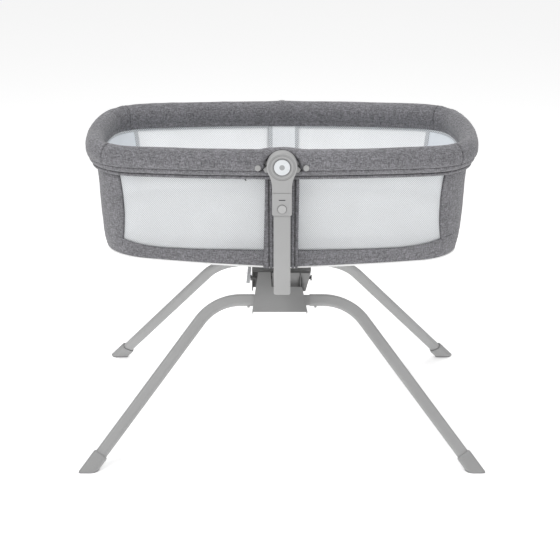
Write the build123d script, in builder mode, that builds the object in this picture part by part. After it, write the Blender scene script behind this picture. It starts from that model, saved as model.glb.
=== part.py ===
from build123d import *
from math import atan2, cos, hypot, radians, sin, sqrt, tan
import os

# A folding bassinet hung between two posts on a four-legged stand.
# Millimetres.  X runs along the basket, -Y is the front, +Z is up, and the floor is Z = 0.
# The object is mirrored about the XZ plane, and the basket about the YZ plane as well.

os.makedirs("parts", exist_ok=True)

# ---- rim ovals: each is drawn with three radii, one for the side, corner and end ----
RIM_Z = 717.0
RIM_HALF_LENGTH = 444.0
RIM_HALF_WIDTH = 245.0
SIDE_RADIUS = 2150.0
END_RADIUS = 700.0
CORNER_RADIUS = 110.0
ROLL_RADIUS = 26.0
RIM_TUBE_RADIUS = 8.0
RIM_TUBE_WALL = 1.2
ROLL_START = 62.0
RIM_TUBE_START = 46.0

# ---- basket body ----
WALL_TOP_Z = 690.0
WALL_TOP = (439.0, 240.0)
WINDOW_Z = 498.0
WINDOW_OVAL = (425.0, 216.0)
BOTTOM_Z = 452.0
BOTTOM_OVAL = (416.0, 208.0)
CLOTH = 3.0
BOARD_THICKNESS = 4.0
MATTRESS_TOP_Z = 520.0
FOLD_GAP = 4.0
BEAD_RADIUS = 3.0
BEAD_X = 6.5
BEAD_Z = MATTRESS_TOP_Z - 2.5
BEAD_LENGTH = 384.0
PANEL_HALF_WIDTH = 38.0
SLEEVE_HALF_WIDTH = 60.0

# ---- hubs, posts and the beam between them ----
POST_Y = 283.0
POST_WIDTH = 38.0
POST_DEPTH = 22.0
POST_WALL = 1.5
POST_FOOT_Z = 416.0
POST_BASE_Z = 436.0
COLLAR_WIDTH = 44.5
COLLAR_DEPTH = 30.0
COLLAR_BOTTOM_Z = 605.5
COLLAR_TOP_Z = 658.0
POST_TOP_Z = 632.0
TONGUE_WIDTH = 30.0
TONGUE_DEPTH = 14.0
TONGUE_BOTTOM_Z = 596.0
BUTTON_Z = 621.0
BUTTON_RADIUS = 9.8
BUTTON_RING = 10.6
HEAD_RADIUS = 34.0
REAR_HEAD_RADIUS = 20.0
BADGE_RADIUS = 17.9
REAR_BADGE_RADIUS = 11.0
REAR_DISH_RADIUS = 11.5
SWING_PIN_RADIUS = 8.0
PIVOT_X = 30.0
PIVOT_RADIUS = 5.0
RUNNING_FIT = 0.05
HUB_GAP = 0.8
BEAM_WIDTH = 32.0
BEAM_HEIGHT = 16.0
BEAM_Z = 426.0
BEAM_WALL = 1.5

# ---- base and leg frames ----
TUBE_Y = 143.0
TUBE_Z = 348.0
FOOT_Y = 353.2
HINGE_Y = 115.0
HINGE_Z = 395.0
AXLE_RADIUS = 4.0
LEG_WIDTH = 29.0
LEG_THICKNESS = 16.0
LEG_WALL = 1.5
LEG_SLOPE = 54.3
LEG_CORNER_X = 160.0
LEG_BEND_RADIUS = 120.0
LEG_START_X = 66.0
STUB_END_X = 94.0
STUB_CLEARANCE = 0.2
SNAP_X = 80.0
SNAP_RADIUS = 3.0
BOOT_WIDTH = 36.0
BOOT_THICKNESS = 23.0
BOOT_LENGTH = 50.0
HOUSING_TOP_Z = 410.0
HOUSING_BOTTOM_Z = 362.0
HOUSING_HALF_DEPTH = 116.0
SHEET = 2.5

# worked-out values
HUB_FRONT_Y = -POST_Y - 15.0
LEAN = atan2(FOOT_Y - TUBE_Y, TUBE_Z)
LEG_PLANE = Plane(origin=(0, -TUBE_Y, TUBE_Z), x_dir=(1, 0, 0), z_dir=(0, -cos(LEAN), sin(LEAN)))
FLOOR_DOWN = TUBE_Z / cos(LEAN)
FRONT_FACE = Plane(origin=(0, 0, 0), x_dir=(1, 0, 0), z_dir=(0, -1, 0))


def along_x(x, y, z):
    return Location((x, y, z), (0, 90, 0))


def along_y(x, y, z):
    return Location((x, y, z), (90, 0, 0))


def save(piece, name):
    piece.label = name
    export_step(piece, "parts/" + name + ".step")


def save_mirrored(piece, name):
    save(mirror(piece, about=Plane.XZ), name)


def corner_arc(half_length, half_width):
    """Centre of the corner arc and its two tangent directions in the first quadrant."""
    side_centre = Vector(0, half_width - SIDE_RADIUS)
    end_centre = Vector(half_length - END_RADIUS, 0)
    reach_side = SIDE_RADIUS - CORNER_RADIUS
    reach_end = END_RADIUS - CORNER_RADIUS
    apart = end_centre - side_centre
    along = (reach_side**2 - reach_end**2 + apart.length**2) / (2 * apart.length)
    across = sqrt(reach_side**2 - along**2)
    unit = apart.normalized()
    normal = Vector(-unit.Y, unit.X)
    centre = side_centre + unit * along + normal * across
    if centre.Y < 0:
        centre = side_centre + unit * along - normal * across
    to_side = (centre - side_centre).normalized()
    to_end = (centre - end_centre).normalized()
    return centre, to_side, to_end


def oval_points(half_length, half_width):
    """Side tangent point, corner middle and end tangent point in the first quadrant."""
    centre, to_side, to_end = corner_arc(half_length, half_width)
    side = centre + to_side * CORNER_RADIUS
    middle = centre + (to_side + to_end).normalized() * CORNER_RADIUS
    end = centre + to_end * CORNER_RADIUS
    return side, middle, end


def oval_sketch(size, z):
    """The three-radius oval as a filled face at height z."""
    half_length, half_width = size
    side, middle, end = oval_points(half_length, half_width)
    with BuildSketch(Plane.XY.offset(z)) as face:
        with BuildLine():
            ThreePointArc((-side.X, side.Y), (0, half_width), (side.X, side.Y))
            ThreePointArc((side.X, side.Y), (middle.X, middle.Y), (end.X, end.Y))
            ThreePointArc((end.X, end.Y), (half_length, 0), (end.X, -end.Y))
            ThreePointArc((end.X, -end.Y), (middle.X, -middle.Y), (side.X, -side.Y))
            ThreePointArc((side.X, -side.Y), (0, -half_width), (-side.X, -side.Y))
            ThreePointArc((-side.X, -side.Y), (-middle.X, -middle.Y), (-end.X, -end.Y))
            ThreePointArc((-end.X, -end.Y), (-half_length, 0), (-end.X, end.Y))
            ThreePointArc((-end.X, end.Y), (-middle.X, middle.Y), (-side.X, side.Y))
        make_face()
    return face.sketch


def shrunk(size, inset):
    return (size[0] - inset, size[1] - inset)


def rim_side_y(x):
    """Half width of the rim's centre line at x, on the long side arc."""
    return RIM_HALF_WIDTH - SIDE_RADIUS + sqrt(SIDE_RADIUS**2 - x**2)


def rim_half_path(start_x):
    """The rim's centre line for the right half, from the front round to the back."""
    side, middle, end = oval_points(RIM_HALF_LENGTH, RIM_HALF_WIDTH)
    start_y = rim_side_y(start_x)
    mid_x = (start_x + side.X) / 2
    mid_y = rim_side_y(mid_x)
    with BuildLine(Plane.XY.offset(RIM_Z)) as path:
        ThreePointArc((start_x, -start_y), (mid_x, -mid_y), (side.X, -side.Y))
        ThreePointArc((side.X, -side.Y), (middle.X, -middle.Y), (end.X, -end.Y))
        ThreePointArc((end.X, -end.Y), (RIM_HALF_LENGTH, 0), (end.X, end.Y))
        ThreePointArc((end.X, end.Y), (middle.X, middle.Y), (side.X, side.Y))
        ThreePointArc((side.X, side.Y), (mid_x, mid_y), (start_x, start_y))
    return path.line


def make_rim_ring(start_x, outer, inner):
    """A round hollow section swept along half of the rim."""
    path = rim_half_path(start_x)
    with BuildPart() as ring:
        with BuildSketch(Plane(origin=path @ 0, z_dir=path % 0)):
            Circle(outer)
            Circle(inner, mode=Mode.SUBTRACT)
        sweep(path=path)
    return ring.part


def save_both_sides(piece, name):
    """Write the right-hand piece and its left-hand mirror image."""
    save(piece, "right_" + name)
    save(mirror(piece, about=Plane.YZ), "left_" + name)


def make_basket_halves():
    bore = RIM_TUBE_RADIUS - RIM_TUBE_WALL
    save_both_sides(make_rim_ring(RIM_TUBE_START, RIM_TUBE_RADIUS, bore), "rim_tube")
    save_both_sides(make_rim_ring(ROLL_START, ROLL_RADIUS, RIM_TUBE_RADIUS + 0.3), "rim_roll")
    save_both_sides(make_wall(), "wall")
    save_both_sides(make_floor_cover(), "floor_cover")
    save_both_sides(make_floor_board(), "floor_board")
    save_both_sides(make_mattress(), "mattress")
    save_both_sides(make_rim_brackets(), "rim_brackets")
    save_both_sides(make_snap_caps(), "snap_caps")


def make_wall():
    """Right half of the cloth wall, from the centre panels round the end."""
    with BuildPart() as wall:
        add(oval_sketch(WALL_TOP, WALL_TOP_Z))
        add(oval_sketch(WINDOW_OVAL, WINDOW_Z + 0.5))
        loft()
        inner_top = oval_sketch(shrunk(WALL_TOP, CLOTH), WALL_TOP_Z)
        inner_bottom = oval_sketch(shrunk(WINDOW_OVAL, CLOTH), WINDOW_Z + 0.5)
        loft(sections=[inner_top, inner_bottom], mode=Mode.SUBTRACT)
        with Locations((PANEL_HALF_WIDTH + 0.5, 0, WINDOW_Z)):
            Box(1000, 1000, 500, align=(Align.MIN, Align.CENTER, Align.CENTER), mode=Mode.INTERSECT)
    return wall.part


def make_floor_cover():
    """Right half of the cloth tray that holds the floor board and the mattress."""
    with BuildPart() as tray:
        add(oval_sketch(WINDOW_OVAL, WINDOW_Z))
        add(oval_sketch(BOTTOM_OVAL, BOTTOM_Z))
        loft()
        bottom_edges = tray.edges().group_by(Axis.Z)[0]
        fillet(bottom_edges, 6)
        inner_top = oval_sketch(shrunk(WINDOW_OVAL, CLOTH), WINDOW_Z)
        inner_bottom = oval_sketch(shrunk(BOTTOM_OVAL, CLOTH + 2), BOTTOM_Z + CLOTH)
        loft(sections=[inner_top, inner_bottom], mode=Mode.SUBTRACT)
        with Locations((FOLD_GAP, 0, WINDOW_Z)):
            Box(1000, 1000, 500, align=(Align.MIN, Align.CENTER, Align.CENTER), mode=Mode.INTERSECT)
    return tray.part


def make_slab(inset, bottom, height):
    """Right half of a flat oval slab that lies inside the floor cover."""
    with BuildPart() as slab:
        add(oval_sketch(shrunk(BOTTOM_OVAL, inset), bottom))
        extrude(amount=height)
        with Locations((FOLD_GAP, 0, bottom)):
            Box(1000, 1000, 500, align=(Align.MIN, Align.CENTER, Align.CENTER), mode=Mode.INTERSECT)
    return slab


def make_floor_board():
    board = make_slab(CLOTH + 4, BOTTOM_Z + CLOTH + 0.5, BOARD_THICKNESS)
    return board.part


def make_mattress():
    bottom = BOTTOM_Z + CLOTH + 0.5 + BOARD_THICKNESS + 0.5
    pad = make_slab(CLOTH + 4, bottom, MATTRESS_TOP_Z - bottom)
    with pad:
        fillet(pad.edges().filter_by(Plane.XY), 8)
        # sewn bead along the fold line, which the half turns about
        with Locations(along_y(BEAD_X, 0, BEAD_Z)):
            Cylinder(BEAD_RADIUS, BEAD_LENGTH)
    return pad.part


def make_rim_brackets():
    """Right-hand pivot brackets, front and back, that carry the ends of the rim tube."""
    half = 12.0
    end_x = 60.0
    with BuildPart() as bracket:
        with BuildSketch(FRONT_FACE.offset(RIM_HALF_WIDTH - half)):
            with Locations((PIVOT_X, RIM_Z)):
                Circle(half)
            with Locations(((PIVOT_X + end_x) / 2, RIM_Z)):
                Rectangle(end_x - PIVOT_X, 2 * half)
            with Locations((PIVOT_X, RIM_Z)):
                Circle(PIVOT_RADIUS + RUNNING_FIT, mode=Mode.SUBTRACT)
        extrude(amount=2 * half)
        with Locations(Location((end_x, -rim_side_y((RIM_TUBE_START + end_x) / 2), RIM_Z), (0, 90, 0))):
            Cylinder(RIM_TUBE_RADIUS + 0.35, 2 * (end_x - RIM_TUBE_START + 1), mode=Mode.SUBTRACT)
        mirror(about=Plane.XZ)
    return bracket.part


def make_snap_caps():
    """Right-hand rivet caps that pin the cloth to the brackets, front and back."""
    with BuildPart() as caps:
        with Locations(along_y(54, -263.5, 709)):
            Cylinder(2.0, 13.0)
        with Locations(along_y(54, -272.0, 709)):
            Cylinder(7.0, 4.0)
        fillet(caps.edges().group_by(Axis.Y)[0], 1.5)
        mirror(about=Plane.XZ)
    return caps.part


def front_box(x, y, z):
    """A box given by its lowest and highest value along each axis."""
    with Locations(((x[0] + x[1]) / 2, (y[0] + y[1]) / 2, (z[0] + z[1]) / 2)):
        Box(x[1] - x[0], y[1] - y[0], z[1] - z[0])


def make_centre_panel():
    """Front cloth strip between the two walls, with the sleeve that wraps the pivot brackets."""
    top_y = -WALL_TOP[1]
    low_y = -WINDOW_OVAL[1] - 6
    with BuildPart() as panel:
        with BuildSketch(Plane.YZ):
            with BuildLine():
                Polyline((top_y, 684), (top_y + 4, 684), (low_y + 4, BOTTOM_Z), (low_y, BOTTOM_Z), close=True)
            make_face()
        extrude(amount=PANEL_HALF_WIDTH, both=True)
        with BuildSketch(Plane.YZ):
            with Locations((-RIM_HALF_WIDTH, RIM_Z)):
                Circle(ROLL_RADIUS)
                Circle(ROLL_RADIUS - 3, mode=Mode.SUBTRACT)
            with Locations((-RIM_HALF_WIDTH - ROLL_RADIUS, RIM_Z - 12)):
                Rectangle(30, 46, mode=Mode.SUBTRACT)
            with Locations((-RIM_HALF_WIDTH - ROLL_RADIUS, RIM_Z)):
                Rectangle(20, 60, mode=Mode.SUBTRACT)
        extrude(amount=SLEEVE_HALF_WIDTH, both=True)
    return panel.part


def make_hub_plate(radius):
    """Front moulded plate behind the hub, with the pair of rim pivot pins on its back."""
    with BuildPart() as plate:
        with BuildSketch(FRONT_FACE.offset(264)):
            with Locations((0, RIM_Z)):
                Circle(radius)
            with BuildLine():
                Polyline((-42, 706), (-20, 724), (20, 724), (42, 706), (38, 698), (-38, 698), close=True)
            make_face()
        extrude(amount=5.5)
        with Locations(along_y(0, -271.5, RIM_Z)):
            Cylinder(18, 4)
        with Locations(along_y(-PIVOT_X, -260.8, RIM_Z), along_y(PIVOT_X, -260.8, RIM_Z)):
            Cylinder(8, 6.4)
        with Locations(along_y(-PIVOT_X, -249, RIM_Z), along_y(PIVOT_X, -249, RIM_Z)):
            Cylinder(PIVOT_RADIUS, 30)
    return plate.part


def make_swing_pins():
    """Front and rear pins that the basket rocks on, fixed to the hub plates."""
    with BuildPart() as pins:
        with Locations(along_y(0, -282.4, RIM_Z)):
            Cylinder(SWING_PIN_RADIUS, 17.8)
        chamfer(pins.edges().group_by(Axis.Y)[0], 0.8)
        mirror(about=Plane.XZ)
    return pins.part


def bore_and_tongue():
    """Bores the head for the swing pin and adds the tongue with its button hole, to the current part."""
    tongue = (TONGUE_WIDTH / 2, TONGUE_DEPTH / 2)
    with Locations(along_y(0, -283, RIM_Z)):
        Cylinder(SWING_PIN_RADIUS + RUNNING_FIT, 19, mode=Mode.SUBTRACT)
    front_box((-tongue[0], tongue[0]), (-POST_Y - tongue[1], -POST_Y + tongue[1]),
              (TONGUE_BOTTOM_Z, COLLAR_TOP_Z + HUB_GAP))
    with Locations(along_y(0, -POST_Y, BUTTON_Z)):
        Cylinder(5, TONGUE_DEPTH, mode=Mode.SUBTRACT)


def make_hub_arm():
    """Front arm: a round head over a neck and a tongue that drops into the collar."""
    back = 24.0
    half = COLLAR_WIDTH / 2
    neck_bottom = COLLAR_TOP_Z + HUB_GAP
    with BuildPart() as arm:
        with BuildSketch(FRONT_FACE.offset(-HUB_FRONT_Y - back)):
            with Locations((0, RIM_Z)):
                Circle(HEAD_RADIUS)
            with BuildLine():
                Line((-30.5, 702), (30.5, 702))
                ThreePointArc((30.5, 702), (25, 688), (half, 672))
                Line((half, 672), (half, neck_bottom))
                Line((half, neck_bottom), (-half, neck_bottom))
                Line((-half, neck_bottom), (-half, 672))
                ThreePointArc((-half, 672), (-25, 688), (-30.5, 702))
            make_face()
        extrude(amount=back)
        front_edges = arm.edges().filter_by(GeomType.CIRCLE).group_by(Axis.Y)[0]
        fillet(front_edges.filter_by(lambda edge: edge.radius > HEAD_RADIUS - 0.1), 2.5)
        with BuildSketch(FRONT_FACE.offset(-HUB_FRONT_Y)):
            with Locations((0, RIM_Z)):
                Circle(30)
                Circle(26, mode=Mode.SUBTRACT)
        extrude(amount=-1.0, mode=Mode.SUBTRACT)
        with Locations(along_y(0, HUB_FRONT_Y, RIM_Z)):
            Cone(18.6, 23.5, 3.0, align=(Align.CENTER, Align.CENTER, Align.MAX), mode=Mode.SUBTRACT)
        bore_and_tongue()
    return arm.part


def make_plain_arm():
    """Rear arm, built at the front: a small plain head that stays below the rim's top."""
    back = 24.0
    half = COLLAR_WIDTH / 2
    head = REAR_HEAD_RADIUS
    with BuildPart() as arm:
        with BuildSketch(FRONT_FACE.offset(-HUB_FRONT_Y - back)):
            with Locations((0, RIM_Z)):
                Circle(head)
            with BuildLine():
                Polyline((-head, RIM_Z), (head, RIM_Z), (half, 690), (half, COLLAR_TOP_Z + HUB_GAP),
                         (-half, COLLAR_TOP_Z + HUB_GAP), (-half, 690), close=True)
            make_face()
        extrude(amount=back)
        with Locations(along_y(0, HUB_FRONT_Y, RIM_Z)):
            Cylinder(REAR_DISH_RADIUS, 4.0, mode=Mode.SUBTRACT)
        bore_and_tongue()
    return arm.part


def make_badges():
    """Front and rear plain discs set in the hubs' dishes."""
    with BuildPart() as badges:
        with Locations(along_y(0, HUB_FRONT_Y + 1.4, RIM_Z)):
            Cylinder(BADGE_RADIUS, 3.0)
        fillet(badges.edges().group_by(Axis.Y)[0], 0.8)
        with Locations(along_y(0, -HUB_FRONT_Y - 1.0, RIM_Z)):
            Cylinder(REAR_BADGE_RADIUS, 2.0)
    return badges.part


def make_collar():
    """Front sleeve on top of the post, with the tongue's socket and the button's hole."""
    half = (COLLAR_WIDTH / 2, COLLAR_DEPTH / 2)
    with BuildPart() as collar:
        front_box((-half[0], half[0]), (-POST_Y - half[1], -POST_Y + half[1]),
                  (COLLAR_BOTTOM_Z, COLLAR_TOP_Z))
        fillet(collar.edges().filter_by(Axis.Z), 4)
        fillet(collar.edges().group_by(Axis.Z)[0], 2.5)
        with Locations((0, -POST_Y, POST_TOP_Z + 0.1)):
            Box(POST_WIDTH + 0.2, POST_DEPTH + 0.2, 60, align=(Align.CENTER, Align.CENTER, Align.MAX),
                mode=Mode.SUBTRACT)
        with Locations((0, -POST_Y, COLLAR_TOP_Z)):
            Box(TONGUE_WIDTH + 0.8, TONGUE_DEPTH + 0.8, 80, mode=Mode.SUBTRACT)
        with Locations(along_y(0, -POST_Y - 12, BUTTON_Z)):
            Cylinder(BUTTON_RADIUS + 0.08, 12, mode=Mode.SUBTRACT)
        with Locations(along_y(0, HUB_FRONT_Y, BUTTON_Z)):
            Cylinder(BUTTON_RING, 1.6, mode=Mode.SUBTRACT)
    return collar.part


def make_button():
    """Front release button with the stem that reaches for the tongue."""
    with BuildPart() as button:
        with Locations(along_y(0, -298.4, BUTTON_Z)):
            Cylinder(BUTTON_RADIUS, 2.6)
        fillet(button.edges().group_by(Axis.Y)[0], 0.9)
        with Locations(along_y(0, -294.3, BUTTON_Z)):
            Cylinder(4, 5.6)
    return button.part


def make_button_spring():
    """Front wave spring between the button and the post."""
    with BuildPart() as spring:
        with BuildSketch(FRONT_FACE.offset(294.1)):
            with Locations((0, BUTTON_Z)):
                Circle(8.4)
                Circle(5.2, mode=Mode.SUBTRACT)
        extrude(amount=2.8)
    return spring.part


def make_post():
    """Front rectangular post, open at both ends."""
    with BuildPart() as post:
        with BuildSketch(Plane.XY.offset(POST_BASE_Z)):
            with Locations((0, -POST_Y)):
                RectangleRounded(POST_WIDTH, POST_DEPTH, 4)
                hollow = (POST_WIDTH - 2 * POST_WALL, POST_DEPTH - 2 * POST_WALL)
                RectangleRounded(hollow[0], hollow[1], 2.5, mode=Mode.SUBTRACT)
        extrude(amount=POST_TOP_Z - POST_BASE_Z)
        with Locations(along_y(0, -POST_Y - 9, BUTTON_Z)):
            Cylinder(4.6, 6, mode=Mode.SUBTRACT)
    return post.part


def make_post_foot():
    """Front corner moulding that joins the post to the cross beam."""
    with BuildPart() as foot:
        front_box((-19, 19), (-POST_Y - 11, -POST_Y + 11), (POST_FOOT_Z, POST_BASE_Z))
        fillet(foot.edges().filter_by(Axis.Y).group_by(Axis.Z)[0], 5)
        fillet(foot.edges().filter_by(Axis.Z), 3)
        front_box((-19, 19), (-POST_Y + 10, -246), (POST_FOOT_Z, POST_BASE_Z))
        with BuildSketch(Plane.XY.offset(POST_BASE_Z - 1)):
            with Locations((0, -POST_Y)):
                RectangleRounded(POST_WIDTH - 2 * POST_WALL - 0.4, POST_DEPTH - 2 * POST_WALL - 0.4, 2.8)
        extrude(amount=31)
        with Locations((0, -246, BEAM_Z)):
            Box(BEAM_WIDTH, 40, BEAM_HEIGHT, mode=Mode.SUBTRACT)
    return foot.part


def make_cross_beam():
    """Flat tube from the front post's foot to the rear one."""
    with BuildPart() as beam:
        with BuildSketch(Plane.XZ):
            with Locations((0, BEAM_Z)):
                Rectangle(BEAM_WIDTH, BEAM_HEIGHT)
                Rectangle(BEAM_WIDTH - 2 * BEAM_WALL, BEAM_HEIGHT - 2 * BEAM_WALL, mode=Mode.SUBTRACT)
        extrude(amount=264, both=True)
        with Locations(along_x(0, -40, BEAM_Z), along_x(0, 40, BEAM_Z)):
            Cylinder(2.6, 60, mode=Mode.SUBTRACT)
    return beam.part


def make_housing():
    """Open-bottomed channel that holds the leg hinges and carries the beam in a saddle."""
    right_top = 70.0
    right_bottom = 57.0
    left = -72.0
    with BuildPart() as housing:
        with BuildSketch(Plane.XZ):
            with BuildLine():
                Polyline((left, HOUSING_TOP_Z), (right_top, HOUSING_TOP_Z), (right_bottom, HOUSING_BOTTOM_Z),
                         (right_bottom - SHEET, HOUSING_BOTTOM_Z), (right_top - SHEET, HOUSING_TOP_Z - SHEET),
                         (left + SHEET, HOUSING_TOP_Z - SHEET), (left + SHEET, HOUSING_BOTTOM_Z),
                         (left, HOUSING_BOTTOM_Z), close=True)
            make_face()
        extrude(amount=HOUSING_HALF_DEPTH, both=True)
        with BuildSketch(Plane.XZ.offset(88)):
            with BuildLine():
                Polyline((left + 1, HOUSING_TOP_Z - 1), (right_top - 1, HOUSING_TOP_Z - 1),
                         (right_bottom - 1, HOUSING_BOTTOM_Z), (left + 1, HOUSING_BOTTOM_Z), close=True)
            make_face()
        web = extrude(amount=SHEET)
        mirror(objects=web, about=Plane.XZ)
        for side in (-1, 1):
            with Locations((0, side * (HOUSING_HALF_DEPTH + 1), HOUSING_TOP_Z)):
                Box(200, 16, 24, rotation=(side * 40, 0, 0), mode=Mode.SUBTRACT)
        front_box((-BEAM_WIDTH / 2 - 6, BEAM_WIDTH / 2 + 6), (-60, 60), (HOUSING_TOP_Z - 1, BEAM_Z + 6))
        with Locations((0, 0, BEAM_Z)):
            Box(BEAM_WIDTH, 130, BEAM_HEIGHT, mode=Mode.SUBTRACT)
        with Locations(along_x(0, -40, BEAM_Z), along_x(0, 40, BEAM_Z)):
            Cylinder(2.6, 60, mode=Mode.SUBTRACT)
        with Locations(along_x(0, -HINGE_Y, HINGE_Z), along_x(0, HINGE_Y, HINGE_Z)):
            Cylinder(AXLE_RADIUS + 0.02, 200, mode=Mode.SUBTRACT)
    return housing.part


def make_hinge_axles():
    """Front and rear pins that the leg frames turn on."""
    with BuildPart() as axles:
        with Locations(along_x(-2, -HINGE_Y, HINGE_Z)):
            Cylinder(AXLE_RADIUS, 146)
        with Locations(along_x(-74, -HINGE_Y, HINGE_Z), along_x(70, -HINGE_Y, HINGE_Z)):
            Cylinder(7, 3)
        mirror(about=Plane.XZ)
    return axles.part


def make_beam_bolts():
    """Two cross bolts with low heads that pin the beam in its saddle."""
    with BuildPart() as bolts:
        for y in (-40, 40):
            with Locations(along_x(0, y, BEAM_Z)):
                Cylinder(2.5, 48)
            with Locations(along_x(-23.6, y, BEAM_Z), along_x(23.6, y, BEAM_Z)):
                Cylinder(4.8, 3)
    return bolts.part


def make_storage_strap():
    """Folded webbing strap that hangs beside the housing."""
    with BuildPart() as strap:
        with BuildSketch(Plane.XZ.offset(30)):
            with BuildLine():
                Polyline((-72.4, 409), (-75.4, 409), (-88, 352), (-85, 352), close=True)
            make_face()
        extrude(amount=20)
    return strap.part


def make_strap_hook():
    """Moulded hook that the strap's free end clips over."""
    with BuildPart() as hook:
        with BuildSketch(Plane.XZ.offset(62)):
            with BuildLine():
                Polyline((-60, 410.2), (-36, 410.2), (-36, 413), (-52, 413), (-56, 418), (-60, 418),
                         close=True)
            make_face()
        extrude(amount=8)
        fillet(hook.edges().filter_by(Axis.Y), 0.8)
    return hook.part


def leg_section(width, thickness):
    """Flat oval whose wide way lies across the leg, in the leg frame's own plane."""
    SlotOverall(width, thickness, rotation=90)


def leg_point(x, up, out=0.0):
    """A point of the front leg frame given along X, up its slope and out of its plane."""
    return LEG_PLANE.from_local_coords((x, up, out))


def make_leg():
    """Front right leg: a straight run out of the base, one bend and the long slope to the floor."""
    bend = LEG_BEND_RADIUS * tan(radians(LEG_SLOPE) / 2)
    down = FLOOR_DOWN - 14.0
    foot_x = LEG_CORNER_X + down / tan(radians(LEG_SLOPE))
    with BuildPart() as leg:
        with BuildLine(LEG_PLANE) as path:
            run = Line((LEG_START_X, 0), (LEG_CORNER_X - bend, 0))
            turn = JernArc(run @ 1, (1, 0), LEG_BEND_RADIUS, -LEG_SLOPE)
            Line(turn @ 1, (foot_x, -down))
        with BuildSketch(Plane(origin=leg_point(LEG_START_X, 0), x_dir=LEG_PLANE.z_dir, z_dir=(1, 0, 0))):
            leg_section(LEG_WIDTH, LEG_THICKNESS)
            SlotOverall(LEG_WIDTH - 2 * LEG_WALL, LEG_THICKNESS - 2 * LEG_WALL, rotation=90,
                        mode=Mode.SUBTRACT)
        sweep(path=path.line)
        with BuildSketch(Plane(origin=leg_point(SNAP_X, -8), x_dir=(1, 0, 0), z_dir=-LEG_PLANE.y_dir)):
            Circle(SNAP_RADIUS + 0.1)
        extrude(amount=12, mode=Mode.SUBTRACT)
    return leg.part


def make_stub_tube():
    """Front inner tube that both legs slide over."""
    width = LEG_WIDTH - 2 * LEG_WALL - 2 * STUB_CLEARANCE
    thickness = LEG_THICKNESS - 2 * LEG_WALL - 2 * STUB_CLEARANCE
    with BuildPart() as stub:
        with BuildSketch(Plane(origin=leg_point(-STUB_END_X, 0), x_dir=LEG_PLANE.z_dir, z_dir=(1, 0, 0))):
            SlotOverall(width, thickness, rotation=90)
            SlotOverall(width - 2.4, thickness - 2.4, rotation=90, mode=Mode.SUBTRACT)
        extrude(amount=2 * STUB_END_X)
        for x in (-SNAP_X, SNAP_X):
            with BuildSketch(Plane(origin=leg_point(x, -8), x_dir=(1, 0, 0), z_dir=-LEG_PLANE.y_dir)):
                Circle(SNAP_RADIUS + 0.1)
            extrude(amount=12, mode=Mode.SUBTRACT)
    return stub.part


def make_snap_pin():
    """Front right snap pin: a round nose with a flange that stays inside the stub tube."""
    with BuildPart() as pin:
        with BuildSketch(Plane(origin=leg_point(SNAP_X, -5), x_dir=(1, 0, 0), z_dir=-LEG_PLANE.y_dir)):
            Circle(SNAP_RADIUS)
        extrude(amount=13.4)
        fillet(pin.edges().group_by(Axis.Z)[0], 1.2)
        with BuildSketch(Plane(origin=leg_point(SNAP_X, -5), x_dir=(1, 0, 0), z_dir=-LEG_PLANE.y_dir)):
            Circle(4.2)
        extrude(amount=2)
    return pin.part


def make_snap_springs():
    """Front pair of bent leaf springs that push the snap pins out."""
    with BuildPart() as springs:
        with BuildSketch(LEG_PLANE.offset(-2.5)):
            with BuildLine():
                Polyline((SNAP_X - 22, 8), (SNAP_X - 22, 7), (SNAP_X + 6, -0.9), (SNAP_X + 6, 0.1),
                         close=True)
            make_face()
            with BuildLine():
                Polyline((SNAP_X - 22, 8), (SNAP_X - 22, 9), (SNAP_X + 8, 9), (SNAP_X + 8, 8), close=True)
            make_face()
        extrude(amount=5)
        mirror(about=Plane.YZ)
    return springs.part


def make_boot():
    """Front right rubber-tipped boot over the leg's end, cut flat on the floor."""
    along = radians(LEG_SLOPE)
    foot_x = LEG_CORNER_X + FLOOR_DOWN / tan(along)
    end = leg_point(foot_x, -FLOOR_DOWN)
    axis = LEG_PLANE.x_dir * cos(along) - LEG_PLANE.y_dir * sin(along)
    start = end - axis * BOOT_LENGTH
    leg_end = end - axis * (14.0 / sin(along))
    with BuildPart() as boot:
        with BuildSketch(Plane(origin=start, x_dir=LEG_PLANE.z_dir, z_dir=axis)):
            RectangleRounded(BOOT_THICKNESS, BOOT_WIDTH, 8)
        extrude(amount=BOOT_LENGTH + 40)
        fillet(boot.edges().sort_by_distance(start)[:8], 3)
        with Locations((foot_x, -FOOT_Y, 0)):
            Box(300, 300, 300, align=(Align.CENTER, Align.CENTER, Align.MAX), mode=Mode.SUBTRACT)
        with BuildSketch(Plane(origin=leg_end, x_dir=LEG_PLANE.z_dir, z_dir=-axis)):
            SlotOverall(LEG_WIDTH, LEG_THICKNESS, rotation=90)
        extrude(amount=BOOT_LENGTH, mode=Mode.SUBTRACT)
    return boot.part


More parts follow.
